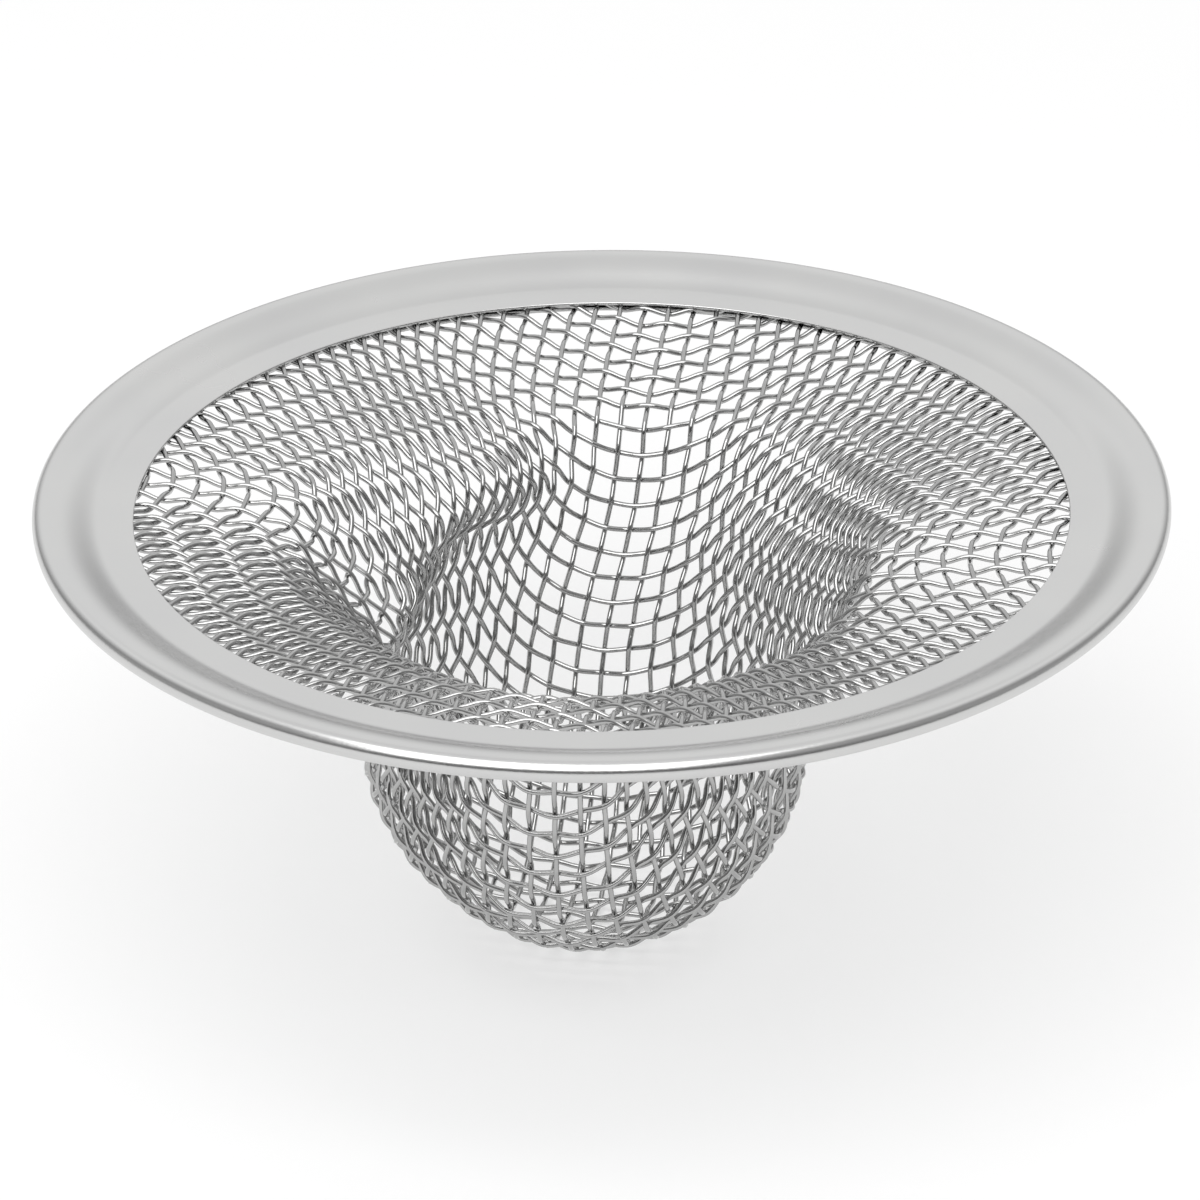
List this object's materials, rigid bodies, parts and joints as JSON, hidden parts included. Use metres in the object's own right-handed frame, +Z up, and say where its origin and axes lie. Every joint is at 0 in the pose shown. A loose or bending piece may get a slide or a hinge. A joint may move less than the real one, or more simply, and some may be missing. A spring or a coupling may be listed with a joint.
{
  "type": "sink strainer",
  "caption": "Round drop-in sink strainer: a folded sheet rim grips a funnel and deep round cup pressed from woven wire cloth.",
  "frame": {"origin": "on the rim's axis, in the plane of the flat ring under the rim that rests on the drain", "axes": "+Z up out of the drain, along the rim's axis; +Y away from the viewer of the picture"},
  "size_m": [0.07, 0.07, 0.03],
  "materials": {
    "rim_sheet": "satin",
    "cloth_wire": "drawn, half bright"
  },
  "bodies": {
    "root": {"rim": "rim_sheet", "warp_wire_01": "cloth_wire", "warp_wire_02": "cloth_wire", "warp_wire_03": "cloth_wire", "warp_wire_04": "cloth_wire", "warp_wire_05": "cloth_wire", "warp_wire_06": "cloth_wire", "warp_wire_07": "cloth_wire", "warp_wire_08": "cloth_wire", "warp_wire_09": "cloth_wire", "warp_wire_10": "cloth_wire", "warp_wire_11": "cloth_wire", "warp_wire_12": "cloth_wire", "warp_wire_13": "cloth_wire", "warp_wire_14": "cloth_wire", "warp_wire_15": "cloth_wire", "warp_wire_16": "cloth_wire", "warp_wire_17": "cloth_wire", "warp_wire_18": "cloth_wire", "warp_wire_19": "cloth_wire", "warp_wire_20": "cloth_wire", "warp_wire_21": "cloth_wire", "warp_wire_22": "cloth_wire", "warp_wire_23": "cloth_wire", "weft_wire_01": "cloth_wire", "weft_wire_02": "cloth_wire", "weft_wire_03": "cloth_wire", "weft_wire_04": "cloth_wire", "weft_wire_05": "cloth_wire", "weft_wire_06": "cloth_wire", "weft_wire_07": "cloth_wire", "weft_wire_08": "cloth_wire", "weft_wire_09": "cloth_wire", "weft_wire_10": "cloth_wire", "weft_wire_11": "cloth_wire", "weft_wire_12": "cloth_wire", "weft_wire_13": "cloth_wire", "weft_wire_14": "cloth_wire", "weft_wire_15": "cloth_wire", "weft_wire_16": "cloth_wire", "weft_wire_17": "cloth_wire", "weft_wire_18": "cloth_wire", "weft_wire_19": "cloth_wire", "weft_wire_20": "cloth_wire", "weft_wire_21": "cloth_wire", "weft_wire_22": "cloth_wire", "weft_wire_23": "cloth_wire"}
  },
  "joints": []
}
